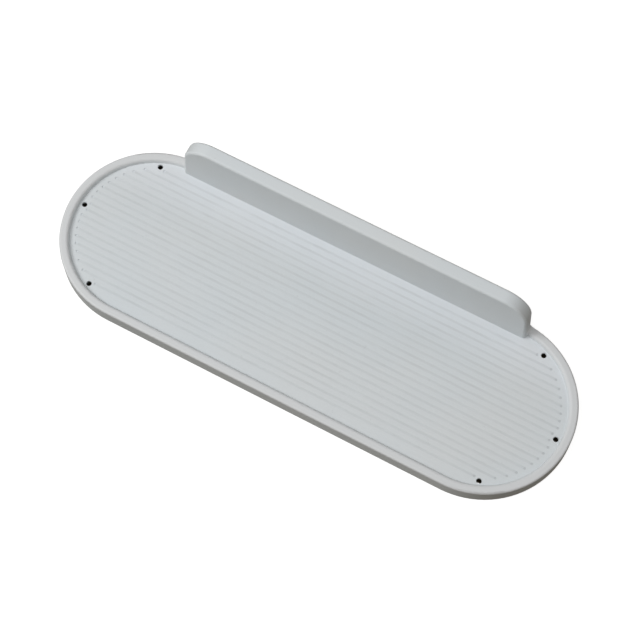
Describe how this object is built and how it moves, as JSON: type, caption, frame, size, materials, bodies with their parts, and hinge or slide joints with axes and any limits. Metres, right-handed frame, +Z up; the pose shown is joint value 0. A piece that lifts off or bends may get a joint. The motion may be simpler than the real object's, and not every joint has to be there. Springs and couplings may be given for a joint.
{
  "type": "diving board",
  "caption": "Pill-shaped grooved board with a raised rim, a fence along one long edge and bolt holes in both rounded ends.",
  "frame": {"origin": "on the plane that the board rests on, under the middle of its length and width", "axes": "+X along the board, +Y across it towards the fence, +Z up from the resting plane"},
  "size_m": [0.6, 0.2, 0.0895],
  "materials": {
    "shell": "pale blue-grey moulded plastic, fine satin texture",
    "fence": "pale blue-grey moulded plastic, fine satin texture",
    "pan": "grey moulded plastic, coarse texture",
    "rubber": "black rubber",
    "block": "natural white plastic block",
    "sleeve": "turned aluminium",
    "extrusion": "mill-finish aluminium",
    "foam": "closed-cell foam",
    "steel": "stainless steel",
    "brass": "turned brass"
  },
  "bodies": {
    "root": {"deck_shell": "shell", "fence_shell": "fence", "base_pan": "pan", "perimeter_gasket": "rubber", "left_end_pad": "rubber", "right_end_pad": "rubber", "drain_plug": "rubber", "drain_seal": "rubber", "left_end_block": "block", "right_end_block": "block", "left_rear_sleeve": "sleeve", "left_tip_sleeve": "sleeve", "left_front_sleeve": "sleeve", "right_rear_sleeve": "sleeve", "right_tip_sleeve": "sleeve", "right_front_sleeve": "sleeve", "front_stringer": "extrusion", "centre_stringer": "extrusion", "rear_stringer": "extrusion", "fence_backing_plate": "extrusion", "front_foam_core": "foam", "rear_foam_core": "foam", "fence_foam_core": "foam", "pan_screws": "steel", "fence_screws": "steel", "fence_washers": "steel", "fence_inserts": "brass"}
  },
  "joints": []
}
